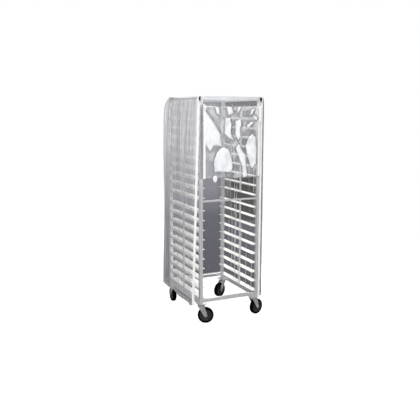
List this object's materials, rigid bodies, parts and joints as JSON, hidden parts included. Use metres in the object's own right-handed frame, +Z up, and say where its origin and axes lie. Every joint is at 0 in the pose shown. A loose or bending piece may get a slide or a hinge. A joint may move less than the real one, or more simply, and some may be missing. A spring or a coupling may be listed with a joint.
{
  "type": "sheet pan rack",
  "caption": "Tall mobile aluminium rack with paired ledges for sheet pans, swivel casters and a clear zipped dust cover whose front flap is folded up.",
  "frame": {"origin": "on the floor, under the middle of the rack's frame and of the whole object's footprint", "axes": "+Z up; the open front, where pans go in, faces -Y; +X to the right as seen from the front"},
  "size_m": [0.6702, 0.7627, 1.7668],
  "materials": {
    "frame_aluminium": "satin mill finish, light rub marks",
    "ledge_aluminium": "bright mill finish, brushed along its length",
    "zinc_steel": "zinc plated",
    "tyre_rubber": "matt black rubber",
    "hub_plastic": "moulded black plastic",
    "clear_vinyl": "clear flexible vinyl, glossy and creased",
    "white_tape": "white woven zipper tape",
    "dark_metal": "dark coated zipper metal"
  },
  "bodies": {
    "rack": {"bottom_rail_front": "frame_aluminium", "bottom_rail_left": "frame_aluminium", "bottom_rail_rear": "frame_aluminium", "bottom_rail_right": "frame_aluminium", "caster_plate_front_left": "zinc_steel", "caster_plate_front_right": "zinc_steel", "caster_plate_rear_left": "zinc_steel", "caster_plate_rear_right": "zinc_steel", "corner_plate_front_left": "frame_aluminium", "corner_plate_front_right": "frame_aluminium", "corner_plate_rear_left": "frame_aluminium", "corner_plate_rear_right": "frame_aluminium", "cover_header": "clear_vinyl", "cover_left": "clear_vinyl", "cover_rear": "clear_vinyl", "cover_right": "clear_vinyl", "cover_top": "clear_vinyl", "kingpin_front_left": "zinc_steel", "kingpin_front_right": "zinc_steel", "kingpin_rear_left": "zinc_steel", "kingpin_rear_right": "zinc_steel", "ledge_bank_left_lower": "ledge_aluminium", "ledge_bank_left_upper": "ledge_aluminium", "ledge_bank_right_lower": "ledge_aluminium", "ledge_bank_right_upper": "ledge_aluminium", "mid_bar_front": "frame_aluminium", "post_front_left": "frame_aluminium", "post_front_right": "frame_aluminium", "post_rear_left": "frame_aluminium", "post_rear_right": "frame_aluminium", "top_rail_front": "frame_aluminium", "top_rail_left": "frame_aluminium", "top_rail_rear": "frame_aluminium", "top_rail_right": "frame_aluminium", "zipper_tape_left": "white_tape", "zipper_tape_right": "white_tape"},
    "caster_front_left": {"fork_front_left": "zinc_steel", "axle_front_left": "zinc_steel"},
    "wheel_front_left": {"tyre_front_left": "tyre_rubber", "hub_front_left": "hub_plastic"},
    "caster_front_right": {"fork_front_right": "zinc_steel", "axle_front_right": "zinc_steel"},
    "wheel_front_right": {"tyre_front_right": "tyre_rubber", "hub_front_right": "hub_plastic"},
    "caster_rear_left": {"fork_rear_left": "zinc_steel", "axle_rear_left": "zinc_steel"},
    "wheel_rear_left": {"tyre_rear_left": "tyre_rubber", "hub_rear_left": "hub_plastic"},
    "caster_rear_right": {"fork_rear_right": "zinc_steel", "axle_rear_right": "zinc_steel"},
    "wheel_rear_right": {"tyre_rear_right": "tyre_rubber", "hub_rear_right": "hub_plastic"},
    "flap": {"front_flap": "clear_vinyl"},
    "slider_left": {"zipper_slider_left": "dark_metal"},
    "tab_left": {"pull_tab_left": "dark_metal"},
    "slider_right": {"zipper_slider_right": "dark_metal"},
    "tab_right": {"pull_tab_right": "dark_metal"}
  },
  "joints": [
    {"name": "swivel_front_left", "type": "hinge", "parent": "rack", "child": "caster_front_left", "pos_m": [-0.23495, -0.28448, 0], "axis": [0, 0, 1], "continuous": true},
    {"name": "wheel_spin_front_left", "type": "hinge", "parent": "caster_front_left", "child": "wheel_front_left", "pos_m": [-0.19782, -0.30101, 0.0635], "axis": [0.4067, 0.9135, 0], "continuous": true},
    {"name": "swivel_front_right", "type": "hinge", "parent": "rack", "child": "caster_front_right", "pos_m": [0.23495, -0.28448, 0], "axis": [0, 0, 1], "continuous": true},
    {"name": "wheel_spin_front_right", "type": "hinge", "parent": "caster_front_right", "child": "wheel_front_right", "pos_m": [0.2736, -0.27192, 0.0635], "axis": [-0.309, 0.9511, 0], "continuous": true},
    {"name": "swivel_rear_left", "type": "hinge", "parent": "rack", "child": "caster_rear_left", "pos_m": [-0.23495, 0.28448, 0], "axis": [0, 0, 1], "continuous": true},
    {"name": "wheel_spin_rear_left", "type": "hinge", "parent": "caster_rear_left", "child": "wheel_rear_left", "pos_m": [-0.23211, 0.32502, 0.0635], "axis": [-0.9976, 0.0698, 0], "continuous": true},
    {"name": "swivel_rear_right", "type": "hinge", "parent": "rack", "child": "caster_rear_right", "pos_m": [0.23495, 0.28448, 0], "axis": [0, 0, 1], "continuous": true},
    {"name": "wheel_spin_rear_right", "type": "hinge", "parent": "caster_rear_right", "child": "wheel_rear_right", "pos_m": [0.19812, 0.26731, 0.0635], "axis": [0.4226, -0.9063, 0], "continuous": true},
    {"name": "flap_lift", "type": "hinge", "parent": "rack", "child": "flap", "pos_m": [0, -0.3386, 1.7088], "axis": [-1, 0, 0], "range_deg": [0, 120]},
    {"name": "slider_left_travel", "type": "slide", "parent": "rack", "child": "slider_left", "axis": [-0.0314, 0, -0.9995], "range_m": [0, 1.54]},
    {"name": "tab_left_swing", "type": "hinge", "parent": "slider_left", "child": "tab_left", "pos_m": [-0.26503, -0.3427, 1.74911], "axis": [-0.9995, 0, 0.0314], "range_deg": [0, 120]},
    {"name": "slider_right_travel", "type": "slide", "parent": "rack", "child": "slider_right", "axis": [0, 0, -1], "range_m": [0, 1.54]},
    {"name": "tab_right_swing", "type": "hinge", "parent": "slider_right", "child": "tab_right", "pos_m": [0.254, -0.3427, 1.749], "axis": [-1, 0, 0], "range_deg": [0, 120]}
  ]
}
